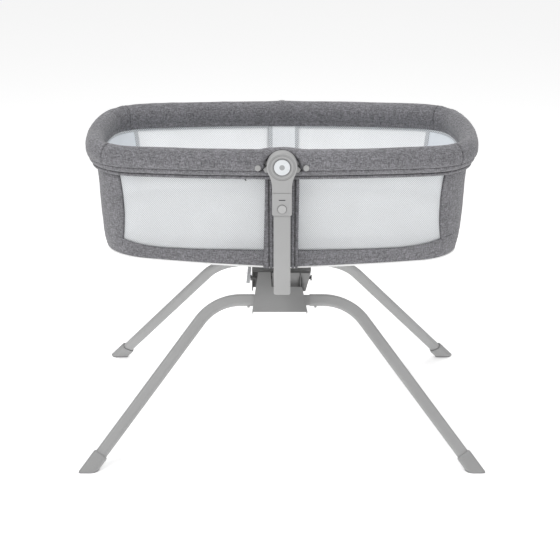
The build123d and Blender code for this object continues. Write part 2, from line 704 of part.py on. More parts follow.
def make_base_shell():
    """Front sheet cover of the leg frame, with its bent flanges and the two hinge tabs."""
    outer = 12.0
    sheet = 2.0
    depth = 24.0
    inner = outer - sheet
    left_edge = (-71.0, -57.0)
    right_edge = (61.0, 48.0)
    low = -31.0
    waist = 30.0
    ear = 66.0
    with BuildPart() as shell:
        with BuildSketch(LEG_PLANE.offset(inner)):
            with BuildLine():
                Polyline((left_edge[0], low), (right_edge[0], low), (right_edge[1], waist), (-25, waist),
                         (-27, ear), (left_edge[1], ear), close=True)
            make_face()
        extrude(amount=sheet)
        with BuildSketch(LEG_PLANE.offset(outer)):
            with BuildLine():
                Polyline((left_edge[0], low), (left_edge[0] + sheet, low), (left_edge[1] + sheet, ear),
                         (left_edge[1], ear), close=True)
            make_face()
            with BuildLine():
                Polyline((right_edge[0], low), (right_edge[0] - sheet, low), (right_edge[1] - sheet, waist),
                         (right_edge[1], waist), close=True)
            make_face()
            with BuildLine():
                Polyline((43, -9), (43 + sheet, -9), (43 + sheet, ear), (43, ear), close=True)
            make_face()
        extrude(amount=-depth)
        with BuildSketch(LEG_PLANE.offset(outer + 0.5)):
            with BuildLine():
                Polyline((30, waist), (46, waist), (46, ear + 2), (30, ear + 2), close=True)
            make_face()
        extrude(amount=-(sheet + 1), mode=Mode.SUBTRACT)
        with Locations(along_x(0, -HINGE_Y, HINGE_Z)):
            Cylinder(AXLE_RADIUS + RUNNING_FIT, 200, mode=Mode.SUBTRACT)
        stub_width = LEG_WIDTH - 2 * LEG_WALL - 2 * STUB_CLEARANCE
        stub_thickness = LEG_THICKNESS - 2 * LEG_WALL - 2 * STUB_CLEARANCE
        with BuildSketch(Plane(origin=leg_point(-STUB_END_X, 0), x_dir=LEG_PLANE.z_dir, z_dir=(1, 0, 0))):
            SlotOverall(stub_width + 0.1, stub_thickness + 0.1, rotation=90)
        extrude(amount=2 * STUB_END_X, mode=Mode.SUBTRACT)
        right_end = leg_point(LEG_START_X - 0.5, 0)
        with BuildSketch(Plane(origin=right_end, x_dir=LEG_PLANE.z_dir, z_dir=(1, 0, 0))):
            SlotOverall(LEG_WIDTH + 0.4, LEG_THICKNESS + 0.4, rotation=90)
        extrude(amount=20, mode=Mode.SUBTRACT)
        left_end = leg_point(-LEG_START_X + 0.5, 0)
        with BuildSketch(Plane(origin=left_end, x_dir=LEG_PLANE.z_dir, z_dir=(-1, 0, 0))):
            SlotOverall(LEG_WIDTH + 0.4, LEG_THICKNESS + 0.4, rotation=90)
        extrude(amount=20, mode=Mode.SUBTRACT)
    return shell.part


def make_zip_pull():
    """Slider and tab of the zip under the rim, on the left of the front."""
    with BuildPart() as pull:
        front_box((-87, -79), (-247, -242.5), (680, 688))
        fillet(pull.edges().filter_by(Axis.Y), 1)
        front_box((-85.5, -80.5), (-246.5, -245), (664, 681))
    return pull.part


def save_front_and_rear(piece, name):
    save(piece, "front_" + name)
    save_mirrored(piece, "rear_" + name)


def make_hubs_and_posts():
    save_front_and_rear(make_centre_panel(), "centre_panel")
    save(make_hub_plate(HEAD_RADIUS - 4), "front_hub_plate")
    save_mirrored(make_hub_plate(REAR_HEAD_RADIUS), "rear_hub_plate")
    save(make_swing_pins(), "swing_pins")
    save(make_hub_arm(), "front_hub_arm")
    save_mirrored(make_plain_arm(), "rear_hub_arm")
    save(make_badges(), "badges")
    save_front_and_rear(make_collar(), "collar")
    save_front_and_rear(make_button(), "button")
    save_front_and_rear(make_button_spring(), "button_spring")
    save_front_and_rear(make_post(), "post")
    save_front_and_rear(make_post_foot(), "post_foot")


def make_stand_centre():
    save(make_cross_beam(), "cross_beam")
    save(make_housing(), "housing")
    save(make_hinge_axles(), "hinge_axles")
    save(make_beam_bolts(), "beam_bolts")
    save(make_storage_strap(), "storage_strap")
    save(make_strap_hook(), "strap_hook")


def make_leg_frames():
    save_front_and_rear(make_base_shell(), "base_shell")
    save_front_and_rear(make_stub_tube(), "stub_tube")
    save_front_and_rear(make_snap_springs(), "snap_springs")
    for maker, name in ((make_leg, "leg"), (make_boot, "boot"), (make_snap_pin, "snap_pin")):
        piece = maker()
        save_front_and_rear(piece, "right_" + name)
        save_front_and_rear(mirror(piece, about=Plane.YZ), "left_" + name)


make_basket_halves()
save(make_zip_pull(), "zip_pull")
make_hubs_and_posts()
make_stand_centre()
make_leg_frames()
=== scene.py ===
from math import asin, atan2, cos, hypot, pi, radians, sin, sqrt

import bmesh
import bpy
from mathutils import Matrix, Vector, noise


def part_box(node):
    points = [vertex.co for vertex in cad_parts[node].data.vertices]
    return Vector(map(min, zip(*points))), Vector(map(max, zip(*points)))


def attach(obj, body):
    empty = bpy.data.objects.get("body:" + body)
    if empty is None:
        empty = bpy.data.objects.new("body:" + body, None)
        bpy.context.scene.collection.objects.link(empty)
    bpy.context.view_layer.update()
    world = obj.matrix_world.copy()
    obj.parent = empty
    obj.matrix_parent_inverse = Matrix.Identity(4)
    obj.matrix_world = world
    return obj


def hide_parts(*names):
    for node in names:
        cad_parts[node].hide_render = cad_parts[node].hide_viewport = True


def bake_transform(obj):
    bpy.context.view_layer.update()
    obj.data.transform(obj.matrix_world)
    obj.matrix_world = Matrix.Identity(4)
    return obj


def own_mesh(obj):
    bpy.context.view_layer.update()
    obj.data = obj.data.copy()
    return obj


# A folding bassinet on a four-legged stand.  Metres: X along the basket, -Y to the front, +Z up.
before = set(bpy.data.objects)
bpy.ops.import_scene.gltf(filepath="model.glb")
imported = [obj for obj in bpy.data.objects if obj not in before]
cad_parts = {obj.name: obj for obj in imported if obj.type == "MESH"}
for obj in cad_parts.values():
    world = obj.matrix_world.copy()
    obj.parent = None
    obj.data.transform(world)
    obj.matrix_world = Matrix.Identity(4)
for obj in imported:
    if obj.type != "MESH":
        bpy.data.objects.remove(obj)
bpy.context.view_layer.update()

# ---- the ovals of the rim and the basket, each drawn with a side, a corner and an end radius ----
SIDE_RADIUS = 2.15
END_RADIUS = 0.70
CORNER_RADIUS = 0.11
RIM_OVAL = (0.444, 0.245)
WALL_TOP_OVAL = (0.439, 0.240)
WINDOW_OVAL = (0.425, 0.216)
BOTTOM_OVAL = (0.416, 0.208)
RIM_Z = 0.717
ROLL_RADIUS = 0.0258
WINDOW_Z = 0.498
BOTTOM_Z = 0.455
WINDOW_END_X = 0.371
WINDOW_START_X = 0.0315
EDGE_X = 0.364
EDGE_BOW = 0.0085
WALL_MIDDLE_Z = 0.592
WALL_HALF_HEIGHT = 0.094
SHIELD_BOTTOM_Z = 0.3625
SHIELD_TOP_Z = 0.4095


# ---- shapes ----
def corner_arc(size):
    """Centre of the corner arc and the directions to its two ends, in the first quadrant."""
    side_centre = Vector((0, size[1] - SIDE_RADIUS))
    end_centre = Vector((size[0] - END_RADIUS, 0))
    reach_side = SIDE_RADIUS - CORNER_RADIUS
    reach_end = END_RADIUS - CORNER_RADIUS
    apart = end_centre - side_centre
    along = (reach_side ** 2 - reach_end ** 2 + apart.length_squared) / (2 * apart.length)
    across = sqrt(reach_side ** 2 - along ** 2)
    unit = apart.normalized()
    normal = Vector((-unit.y, unit.x))
    centre = side_centre + unit * along + normal * across
    if centre.y < 0:
        centre = side_centre + unit * along - normal * across
    return centre, (centre - side_centre).normalized(), (centre - end_centre).normalized()


def quarter(size):
    """The three arcs from the middle of the side to the middle of the end: centre, radius, angles, length."""
    centre, to_side, to_end = corner_arc(size)
    side_angle = atan2(to_side.y, to_side.x)
    end_angle = atan2(to_end.y, to_end.x)
    arcs = [
        (Vector((0, size[1] - SIDE_RADIUS)), SIDE_RADIUS, pi / 2, side_angle),
        (centre, CORNER_RADIUS, side_angle, end_angle),
        (Vector((size[0] - END_RADIUS, 0)), END_RADIUS, end_angle, 0.0),
    ]
    return [(c, r, a, b, r * (a - b)) for c, r, a, b in arcs]


def quarter_length(size):
    return sum(arc[4] for arc in quarter(size))


def at_length(size, length):
    """Point and outward normal in the first quadrant, length metres from the middle of the side."""
    arcs = quarter(size)
    for centre, radius, start, end, span in arcs:
        if length <= span or centre is arcs[-1][0]:
            angle = start - (start - end) * min(length / span, 1.0)
            normal = Vector((cos(angle), sin(angle)))
            return centre + normal * radius, normal
        length -= span


def length_at_x(size, x):
    """How far round from the middle of the side the oval reaches x."""
    low, high = 0.0, quarter_length(size)
    for _ in range(40):
        middle = (low + high) / 2
        if at_length(size, middle)[0].x < x:
            low = middle
        else:
            high = middle
    return low


def half_round(size, length):
    """Point and normal on the right half: length runs from the front middle (0) round to the back middle."""
    quarter_size = quarter_length(size)
    if length <= quarter_size:
        point, normal = at_length(size, length)
        return Vector((point.x, -point.y, 0)), Vector((normal.x, -normal.y, 0))
    point, normal = at_length(size, 2 * quarter_size - length)
    return Vector((point.x, point.y, 0)), Vector((normal.x, normal.y, 0))


def blend_size(a, b, t):
    return (a[0] + (b[0] - a[0]) * t, a[1] + (b[1] - a[1]) * t)


def wall_size(z):
    """The wall's oval at height z."""
    if z >= WINDOW_Z:
        return blend_size(WINDOW_OVAL, WALL_TOP_OVAL, min((z - WINDOW_Z) / (0.690 - WINDOW_Z), 1.0))
    return blend_size(BOTTOM_OVAL, WINDOW_OVAL, max(z - BOTTOM_Z, 0.0) / (WINDOW_Z - BOTTOM_Z))


def wobble(point, scale, amount):
    """Smooth seeded unevenness, the same on every run."""
    return noise.noise(Vector(point) * scale) * amount


def new_object(name, mesh):
    obj = bpy.data.objects.new(name, mesh)
    bpy.context.scene.collection.objects.link(obj)
    return obj


def grid(name, rows, round_rows=False, caps=False, skip=None):
    """A mesh from rows of points, with a UV map that is in metres along and across; skip leaves faces out."""
    mesh = bpy.data.meshes.new(name)
    count = len(rows[0])
    points = [point for row in rows for point in row]
    faces = []
    along = [0.0]
    for row, after in zip(rows, rows[1:]):
        along.append(along[-1] + (after[count // 2] - row[count // 2]).length)
    across = [0.0]
    middle = rows[len(rows) // 2]
    for index in range(1, count + 1):
        across.append(across[-1] + (middle[index % count] - middle[index - 1]).length)
    uvs = []
    last = count if round_rows else count - 1
    for r in range(len(rows) - 1):
        for c in range(last):
            if skip and skip(r, c):
                continue
            n = (c + 1) % count
            faces.append((r * count + c, r * count + n, (r + 1) * count + n, (r + 1) * count + c))
            uvs += [(along[r], across[c]), (along[r], across[c + 1]),
                    (along[r + 1], across[c + 1]), (along[r + 1], across[c])]
    if caps:
        faces.append(tuple(range(count))[::-1])
        uvs += [(0.0, across[c]) for c in range(count)]
        faces.append(tuple((len(rows) - 1) * count + c for c in range(count)))
        uvs += [(along[-1], across[c]) for c in range(count)]
    mesh.from_pydata([tuple(p) for p in points], [], faces)
    layer = mesh.uv_layers.new(name="metres")
    for loop, uv in zip(layer.data, uvs):
        loop.uv = uv
    mesh.validate()
    for polygon in mesh.polygons:
        polygon.use_smooth = True
    return new_object(name, mesh)


def apply_modifiers(obj):
    graph = bpy.context.evaluated_depsgraph_get()
    mesh = bpy.data.meshes.new_from_object(obj.evaluated_get(graph), depsgraph=graph)
    obj.modifiers.clear()
    obj.data = mesh
    return obj


def thicken(obj, thickness, offset=-1.0):
    modifier = obj.modifiers.new("thickness", "SOLIDIFY")
    modifier.thickness = thickness
    modifier.offset = offset
    modifier.use_even_offset = False
    return apply_modifiers(obj)


def subdivide(obj, levels=1):
    modifier = obj.modifiers.new("smooth", "SUBSURF")
    modifier.levels = levels
    modifier.render_levels = levels
    return apply_modifiers(obj)


def outward(obj):
    """Turn every face outwards."""
    mesh = bmesh.new()
    mesh.from_mesh(obj.data)
    bmesh.ops.recalc_face_normals(mesh, faces=mesh.faces)
    mesh.to_mesh(obj.data)
    mesh.free()
    return obj


def tube(name, path, radius, sides=8, closed=False, caps=True):
    """A round section carried along a list of points."""
    rows = []
    count = len(path)
    up = Vector((0, 0, 1))
    for index, point in enumerate(path):
        before = path[(index - 1) % count] if closed else path[max(index - 1, 0)]
        after = path[(index + 1) % count] if closed else path[min(index + 1, count - 1)]
        forward = (after - before).normalized()
        side = forward.cross(up)
        if side.length < 0.2:
            side = forward.cross(Vector((0, 1, 0)))
        side.normalize()
        top = side.cross(forward)
        rows.append([point + side * radius * cos(2 * pi * k / sides) + top * radius * sin(2 * pi * k / sides)
                     for k in range(sides)])
    if closed:
        rows.append(rows[0])
    return outward(grid(name, rows, round_rows=True, caps=caps and not closed))


def mirrored(obj, name):
    """A copy mirrored to the left half."""
    copy = new_object(name, obj.data.copy())
    mesh = bmesh.new()
    mesh.from_mesh(copy.data)
    bmesh.ops.scale(mesh, vec=(-1, 1, 1), verts=mesh.verts)
    bmesh.ops.reverse_faces(mesh, faces=mesh.faces)
    mesh.to_mesh(copy.data)
    mesh.free()
    return copy


def joined(name, pieces):
    """Join several objects into the first one."""
    mesh = bmesh.new()
    for piece in pieces:
        mesh.from_mesh(piece.data)
    data = bpy.data.meshes.new(name)
    mesh.to_mesh(data)
    mesh.free()
    for polygon in data.polygons:
        polygon.use_smooth = True
    for piece in pieces:
        bpy.data.objects.remove(piece)
    return new_object(name, data)


# ---- materials ----
class Paint:
    """A node material: the Principled shader with colour, roughness and bump made by other nodes."""

    def __init__(self, name):
        self.material = bpy.data.materials.new(name)
        self.material.use_nodes = True
        self.tree = self.material.node_tree
        self.tree.nodes.clear()
        self.output = self.tree.nodes.new("ShaderNodeOutputMaterial")
        self.shader = self.tree.nodes.new("ShaderNodeBsdfPrincipled")
        self.tree.links.new(self.shader.outputs[0], self.output.inputs["Surface"])
        self.place = self.tree.nodes.new("ShaderNodeTexCoord").outputs["Object"]

    def set(self, **values):
        for key, value in values.items():
            self.shader.inputs[key.replace("_", " ")].default_value = value
        return self

    def link(self, source, target):
        self.tree.links.new(source, target)

    def add(self, kind, settings=None, **inputs):
        node = self.tree.nodes.new(kind)
        for key, value in (settings or {}).items():
            setattr(node, key, value)
        for key, value in inputs.items():
            socket = node.inputs[key.replace("_", " ")]
            if hasattr(value, "is_output"):
                self.link(value, socket)
            else:
                socket.default_value = value
        return node

    def scaled(self, scale, source=None):
        return self.add("ShaderNodeMapping", Vector=source or self.place, Scale=scale).outputs[0]

    def noise(self, scale, detail=2.0, source=None, roughness=0.5):
        return self.add("ShaderNodeTexNoise", Vector=self.scaled(scale, source), Scale=1.0, Detail=detail,
                        Roughness=roughness).outputs["Fac"]

    def math(self, operation, a, b=0.0, c=0.0):
        node = self.tree.nodes.new("ShaderNodeMath")
        node.operation = operation
        for socket, value in zip(node.inputs, (a, b, c)):
            if hasattr(value, "is_output"):
                self.link(value, socket)
            else:
                socket.default_value = value
        return node.outputs[0]

    def ramp(self, factor, stops, interpolation="LINEAR"):
        node = self.add("ShaderNodeValToRGB", Fac=factor)
        ramp = node.color_ramp
        ramp.interpolation = interpolation
        while len(ramp.elements) < len(stops):
            ramp.elements.new(0.5)
        for element, (position, colour) in zip(ramp.elements, stops):
            element.position = position
            element.color = (*colour, 1.0)
        return node.outputs["Color"]

    def mix(self, factor, a, b):
        node = self.tree.nodes.new("ShaderNodeMix")
        node.data_type = "RGBA"
        for socket, value in zip((node.inputs[0], node.inputs[6], node.inputs[7]), (factor, a, b)):
            if hasattr(value, "is_output"):
                self.link(value, socket)
            elif isinstance(value, tuple):
                socket.default_value = (*value, 1.0)
            else:
                socket.default_value = value
        return node.outputs[2]

    def range(self, value, low, high, to_low, to_high):
        node = self.add("ShaderNodeMapRange", Value=value)
        for key, number in zip(("From Min", "From Max", "To Min", "To Max"), (low, high, to_low, to_high)):
            node.inputs[key].default_value = number
        return node.outputs[0]

    def bump(self, height, strength, distance):
        node = self.add("ShaderNodeBump", Height=height, Strength=strength, Distance=distance)
        self.link(node.outputs[0], self.shader.inputs["Normal"])

    def painted_crease_shade(self, source, distance, keep):
        """Painted shade: darken a colour inside seams, grooves and folds, where ambient occlusion finds shade."""
        node = self.add("ShaderNodeAmbientOcclusion", {"samples": 8}, Distance=distance)
        share = self.range(node.outputs["AO"], 0.35, 0.95, keep, 1.0)
        return self.add("ShaderNodeHueSaturation", Value=share, Color=source).outputs[0]

    def from_dots(self, pitch):
        """Distance, in pitches, from the nearest of the staggered dots on the map in metres."""
        flat = self.add("ShaderNodeUVMap", {"uv_map": "metres"}).outputs["UV"]
        turned = self.add("ShaderNodeMapping", Vector=flat, Rotation=(0, 0, pi / 4),
                          Scale=(1 / pitch, 1 / pitch, 1 / pitch)).outputs[0]
        parts = self.add("ShaderNodeSeparateXYZ", Vector=turned)
        u = self.math("SUBTRACT", self.math("FRACT", parts.outputs["X"]), 0.5)
        v = self.math("SUBTRACT", self.math("FRACT", parts.outputs["Y"]), 0.5)
        return self.math("SQRT", self.math("ADD", self.math("MULTIPLY", u, u), self.math("MULTIPLY", v, v)))

    def greys(self, factor, low, high, warmth=0.0):
        """Cloudy mix between two grey levels."""
        return self.ramp(factor, [(0.3, grey(low, warmth)), (0.7, grey(high, warmth))])

    def colour(self, source):
        self.link(source, self.shader.inputs["Base Color"])

    def rough(self, source):
        self.link(source, self.shader.inputs["Roughness"])


def grey(level, warmth=0.0):
    """A linear colour near a display grey level from 0 to 255, a little blue when warmth is negative."""
    value = (level / 255) ** 2.2
    return (value * (1 + warmth), value, value * (1 - warmth))


def heather(level):
    """A linear grey with a trace of violet."""
    value = (level / 255) ** 2.2
    return (value, value * 0.99, value * 1.055)


def melange(name, level, spread):
    """Heathered woven cloth: light and dark yarns both ways, with a plain weave's bump and painted shade in its
    folds and seams.
    """
    paint = Paint(name).set(Sheen_Weight=0.25, Sheen_Roughness=0.5, Specular_IOR_Level=0.2)
    warp = paint.noise((480, 480, 95), 3.0, roughness=0.65)
    weft = paint.noise((110, 110, 560), 3.0, roughness=0.65)
    flecks = paint.noise((260, 260, 260), 2.0)
    yarns = paint.math("ADD", paint.math("MULTIPLY", warp, 0.42), paint.math("MULTIPLY", weft, 0.42))
    both = paint.math("ADD", yarns, paint.math("MULTIPLY", flecks, 0.16))
    stops = [(0.34, heather(level - spread)), (0.45, heather(level - 0.35 * spread)),
             (0.53, heather(level + 0.3 * spread)), (0.64, heather(level + spread))]
    cloudy = paint.range(paint.noise((7, 7, 9), 2.0), 0.3, 0.7, 0.93, 1.06)
    shade = paint.add("ShaderNodeHueSaturation", Value=cloudy, Color=paint.ramp(both, stops)).outputs[0]
    # painted shade: the cloth's colour is darkened by ambient occlusion in its folds and seams
    paint.colour(paint.painted_crease_shade(shade, 0.012, 0.45))
    paint.rough(paint.range(both, 0.35, 0.65, 0.96, 0.82))
    threads = paint.add("ShaderNodeTexWave", {"wave_type": "BANDS", "bands_direction": "Z"},
                        Vector=paint.place, Scale=330.0, Distortion=1.5, Detail=1.0).outputs["Fac"]
    paint.bump(paint.math("ADD", both, paint.math("MULTIPLY", threads, 0.35)), 0.55, 0.0008)
    return paint.material


def plain_cloth(name, level, warmth, contrast=5.0, coarse=600.0, painted_glow=0.0):
    """Plain light cloth with a fine weave and faint unevenness, and an optional glow that is painted light."""
    paint = Paint(name).set(Sheen_Weight=0.15, Sheen_Roughness=0.5, Specular_IOR_Level=0.2)
    # painted light: emission makes the cloth glow, though it is no lamp
    paint.set(Emission_Color=(0.93, 0.96, 1.0, 1.0), Emission_Strength=painted_glow)
    fine = paint.noise((coarse, coarse, coarse), 2.0)
    cloudy = paint.noise((11, 11, 11), 3.0)
    both = paint.math("ADD", paint.math("MULTIPLY", fine, 0.45), paint.math("MULTIPLY", cloudy, 0.55))
    stops = [(0.35, grey(level - contrast, warmth)), (0.65, grey(level + contrast, warmth))]
    paint.colour(paint.ramp(both, stops))
    paint.rough(paint.range(fine, 0.3, 0.7, 0.95, 0.8))
    paint.bump(fine, 0.35, 0.0006)
    return paint.material


def mesh_cloth(name, level, warmth, pitch, hole, clear, painted_glow):
    """Knitted mesh: staggered round holes that let some light through, from the map in metres, and an optional
    glow that is painted light.
    """
    paint = Paint(name).set(Sheen_Weight=0.1, Sheen_Roughness=0.5, Specular_IOR_Level=0.25)
    # painted light: emission makes the mesh glow, though it is no lamp
    paint.set(Emission_Color=(0.96, 0.98, 1.0, 1.0), Emission_Strength=painted_glow)
    away = paint.from_dots(pitch)
    open_share = paint.range(away, hole - 0.06, hole + 0.06, 1.0, 0.0)
    cloudy = paint.noise((14, 14, 14), 2.0)
    knit = paint.greys(cloudy, level - 4, level + 2, warmth)
    paint.colour(paint.mix(open_share, knit, grey(level - 22, warmth)))
    paint.rough(paint.range(away, 0.0, 0.7, 0.9, 0.7))
    paint.bump(away, 0.3, 0.0006)
    see_through = paint.add("ShaderNodeBsdfTransparent")
    blend = paint.tree.nodes.new("ShaderNodeMixShader")
    paint.link(paint.range(open_share, 0.0, 1.0, clear - 0.18, clear + 0.22), blend.inputs[0])
    paint.link(paint.shader.outputs[0], blend.inputs[1])
    paint.link(see_through.outputs[0], blend.inputs[2])
    paint.link(blend.outputs[0], paint.output.inputs["Surface"])
    return paint.material


def dotted_border(name, level, dot_level, pitch):
    """Border of doubled mesh: staggered rows of small dark dots on a light ground, with a faint glow that is
    painted light.
    """
    paint = Paint(name).set(Sheen_Weight=0.15, Sheen_Roughness=0.5, Specular_IOR_Level=0.2)
    # painted light: a faint emission makes the border glow, though it is no lamp
    paint.set(Emission_Color=(0.93, 0.96, 1.0, 1.0), Emission_Strength=0.08)
    away = paint.from_dots(pitch)
    speckle = paint.noise((400, 400, 400), 2.0)
    ground = paint.greys(speckle, level - 12, level + 12, -0.03)
    paint.colour(paint.mix(paint.range(away, 0.24, 0.34, 1.0, 0.0), ground, grey(dot_level, -0.02)))
    paint.rough(paint.range(away, 0.0, 0.7, 0.95, 0.8))
    paint.bump(away, 0.5, 0.0008)
    return paint.material


def moulded(name, level, warmth=0.0, roughness=0.42, grain=900.0, contrast=2.5):
    """Satin moulded plastic: fine grain, slight cloudiness and painted shade in its grooves and parting lines."""
    paint = Paint(name).set(Specular_IOR_Level=0.45)
    cloudy = paint.noise((9, 9, 9), 3.0)
    fine = paint.noise((grain, grain, grain), 2.0)
    body = paint.greys(cloudy, level - contrast, level + contrast, warmth)
    # painted shade: the plastic's colour is darkened by ambient occlusion in grooves, rings and parting lines
    paint.colour(paint.painted_crease_shade(body, 0.006, 0.40))
    both = paint.math("ADD", paint.math("MULTIPLY", cloudy, 0.5), paint.math("MULTIPLY", fine, 0.5))
    paint.rough(paint.range(both, 0.3, 0.7, roughness - 0.05, roughness + 0.07))
    paint.bump(fine, 0.12, 0.0003)
    return paint.material


def powder_coat(name, level, warmth=0.0):
    """Painted tube: faint orange peel and a soft gloss."""
    paint = Paint(name).set(Specular_IOR_Level=0.5, Coat_Weight=0.15, Coat_Roughness=0.3)
    peel = paint.noise((420, 420, 420), 2.0)
    cloudy = paint.noise((6, 6, 6), 2.0)
    paint.colour(paint.greys(cloudy, level - 3, level + 3, warmth))
    paint.rough(paint.range(peel, 0.3, 0.7, 0.36, 0.46))
    paint.bump(peel, 0.15, 0.0004)
    return paint.material


def bare_steel(name, level):
    paint = Paint(name).set(Metallic=1.0, Specular_IOR_Level=0.5)
    brushed = paint.noise((900, 60, 900), 3.0)
    paint.colour(paint.greys(brushed, level - 20, level + 20))
    paint.rough(paint.range(brushed, 0.3, 0.7, 0.25, 0.42))
    paint.bump(brushed, 0.1, 0.0002)
    return paint.material


def webbing(name, level):
    """Narrow woven strap with ribs across it."""
    paint = Paint(name).set(Sheen_Weight=0.2, Sheen_Roughness=0.5, Specular_IOR_Level=0.2)
    ribs = paint.add("ShaderNodeTexWave", {"wave_type": "BANDS", "bands_direction": "Z"},
                     Vector=paint.place, Scale=260.0, Distortion=0.6, Detail=1.0).outputs["Fac"]
    speckle = paint.noise((500, 500, 500), 2.0)
    both = paint.math("ADD", paint.math("MULTIPLY", ribs, 0.5), paint.math("MULTIPLY", speckle, 0.5))
    paint.colour(paint.greys(both, level - 14, level + 8, -0.02))
    paint.rough(paint.range(both, 0.3, 0.7, 0.95, 0.8))
    paint.bump(both, 0.5, 0.0006)
    return paint.material


def badge(name):
    """White disc with a plain grey dot in the middle."""
    paint = Paint(name).set(Specular_IOR_Level=0.5, Coat_Weight=0.3, Coat_Roughness=0.15)
    parts = paint.add("ShaderNodeSeparateXYZ", Vector=paint.place)
    across = parts.outputs["X"]
    up = paint.math("SUBTRACT", parts.outputs["Z"], RIM_Z)
    squares = paint.math("ADD", paint.math("MULTIPLY", across, across), paint.math("MULTIPLY", up, up))
    away = paint.math("SQRT", squares)
    on_dot = paint.range(away, 0.0058, 0.0062, 1.0, 0.0)
    cloudy = paint.noise((30, 30, 30), 2.0)
    white = paint.greys(cloudy, 224, 230, -0.03)
    paint.colour(paint.mix(on_dot, white, grey(165, -0.02)))
    paint.rough(paint.range(cloudy, 0.3, 0.7, 0.25, 0.33))
    return paint.material


def stage_cloth(name):
    paint = Paint(name).set(Specular_IOR_Level=0.0)
    cloudy = paint.noise((0.5, 0.5, 0.5), 2.0)
    paint.colour(paint.ramp(cloudy, [(0.3, (0.95, 0.95, 0.95)), (0.7, (0.96, 0.96, 0.96))]))
    paint.rough(paint.range(cloudy, 0.3, 0.7, 0.9, 1.0))
    paint.set(Emission_Color=(1.0, 1.0, 1.0, 1.0), Emission_Strength=0.42)
    return paint.material


MELANGE = melange("melange_cloth", 121, 38)
MELANGE_DARK = melange("melange_tape", 100, 30)
# painted light: the end lining glows, as if lit from inside the basket
LINING_PAINTED_GLOW = plain_cloth("end_lining", 222, -0.05, painted_glow=0.20)
INNER = plain_cloth("mattress_cloth", 222, -0.015)
UNDER = plain_cloth("underside_cloth", 206, 0.0)
PIPING = plain_cloth("white_piping", 246, 0.0, 4.0, 900.0)
WINDOW = mesh_cloth("window_mesh", 234, -0.02, 0.0031, 0.28, 0.42, 0.0)
# painted light: the rear window mesh and the centre mesh are the window's knit made lighter and given a glow, as
# if more light came through them
REAR_WINDOW_PAINTED_LIGHT = mesh_cloth("rear_window_mesh", 252, -0.012, 0.0031, 0.28, 0.42, 0.12)
BACK_MESH_PAINTED_LIGHT = mesh_cloth("centre_mesh", 244, -0.02, 0.0031, 0.28, 0.25, 0.18)
BORDER = dotted_border("dotted_border", 226, 84, 0.0037)
DOTS = dotted_border("dotted_seam", 236, 70, 0.0044)
PLASTIC = moulded("grey_plastic", 172)
PLASTIC_BASE = moulded("base_plastic", 150, roughness=0.45)
HOUSING = moulded("housing_plastic", 128, roughness=0.5)
BOOT = moulded("boot_plastic", 160, roughness=0.45)
BUTTON = moulded("button_plastic", 186, roughness=0.35)
BLACK = moulded("black_plastic", 40, roughness=0.4, contrast=4.0)
PAINT = powder_coat("leg_paint", 165)
STEEL = bare_steel("bare_steel", 170)
DARK_STEEL = bare_steel("dark_steel", 95)
STRAP = webbing("light_webbing", 205)
BADGE = badge("badge_white")
STITCH = plain_cloth("stitch_thread", 90, -0.02, 6.0, 1500.0)

CAD_PAINTS = {
    BADGE: ["badges"],
    DARK_STEEL: ["hinge_axles"],
    STEEL: ["beam_bolts", "swing_pins", "front_button_spring", "rear_button_spring",
            "front_snap_springs", "rear_snap_springs", "left_rim_tube", "right_rim_tube"],
    HOUSING: ["housing", "cross_beam"],
    BLACK: ["strap_hook", "zip_pull"],
    PLASTIC: ["front_post_foot", "rear_post_foot", "front_collar", "rear_collar", "front_hub_arm",
              "rear_hub_arm", "front_hub_plate",
              "rear_hub_plate", "front_post", "rear_post", "left_rim_brackets", "right_rim_brackets",
              "left_snap_caps", "right_snap_caps"],
    BUTTON: ["front_button", "rear_button", "front_left_snap_pin", "front_right_snap_pin",
             "rear_left_snap_pin", "rear_right_snap_pin"],
    PLASTIC_BASE: ["front_base_shell", "rear_base_shell"],
    PAINT: ["front_left_leg", "front_right_leg", "rear_left_leg", "rear_right_leg", "front_stub_tube",
            "rear_stub_tube"],
}
for paint, names in CAD_PAINTS.items():
    for node_name in names:
        node_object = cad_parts[node_name]
        node_object.data.materials.clear()
        node_object.data.materials.append(paint)


def finish_piece(obj, paint):
    obj.data.materials.clear()
    obj.data.materials.append(paint)
    return obj


# ---- the rim band: padded roll, tape and piping, with the cut-out round the hubs ----
OUTER_SKIRT = [(-0.0062, 0.6812), (-0.0030, 0.6790), (0.0020, 0.6783), (0.0068, 0.6795), (0.0088, 0.6822),
               (0.0082, 0.6848), (0.0046, 0.6866), (0.0098, 0.6882), (0.0145, 0.6915), (0.0178, 0.6960),
               (0.0186, 0.6996), (0.0158, 0.7016), (0.0200, 0.7026)]
INNER_SKIRT = [(-0.0196, 0.6995), (-0.0182, 0.6977), (-0.0193, 0.6962), (-0.0191, 0.6945), (-0.0187, 0.6928),
               (-0.0181, 0.6911), (-0.0172, 0.6899), (-0.0182, 0.6885), (-0.0172, 0.6869), (-0.0145, 0.6861),
               (-0.0112, 0.6867), (-0.0104, 0.6885)]
ROLL_STEPS = 26
HEM_HALF = (0.041, 0.030)
HEM_RISE = (0.029, 0.016)
HEM_FOOT = 0.057
ARCH_RISE = (0.0055, 0.0015)
SEAM_X = 0.395


def roll_point(angle, radius=ROLL_RADIUS):
    return (radius * cos(angle), RIM_Z + radius * sin(angle))


